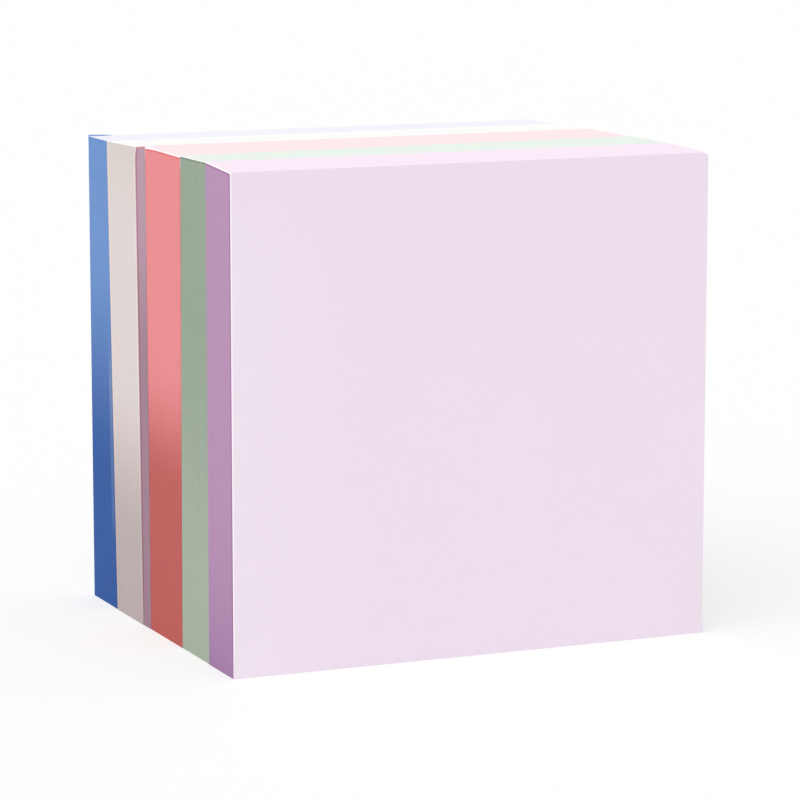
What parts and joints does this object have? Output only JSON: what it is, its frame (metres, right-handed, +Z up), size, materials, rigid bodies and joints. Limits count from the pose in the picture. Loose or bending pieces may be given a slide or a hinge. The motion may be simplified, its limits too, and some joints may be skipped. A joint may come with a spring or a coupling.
{
  "type": "sticky note pad",
  "caption": "Nearly square block of adhesive notes standing on its free edge, in stacked coloured paper bands.",
  "frame": {"origin": "middle of the foot, the face of free sheet edges that the block stands on", "axes": "+X across the notes to the right as the front note is seen, +Y from the front note to the back one, +Z up to the bonded edge"},
  "size_m": [0.0762, 0.062, 0.0737],
  "materials": {
    "lilac": "uncoated paper, pale lilac note face with a deeper purple cut edge",
    "green": "uncoated paper, soft green cut edge",
    "coral": "uncoated paper, coral cut edge that deepens towards the foot",
    "mauve": "uncoated paper, dusty mauve cut edge",
    "cream": "uncoated paper, warm off-white cut edge",
    "blue": "uncoated paper, clear blue cut edge that deepens towards the foot"
  },
  "bodies": {
    "root": {"lilac_notes": "lilac", "green_notes": "green", "coral_notes": "coral", "mauve_notes": "mauve", "cream_notes": "cream", "blue_notes": "blue"}
  },
  "joints": []
}
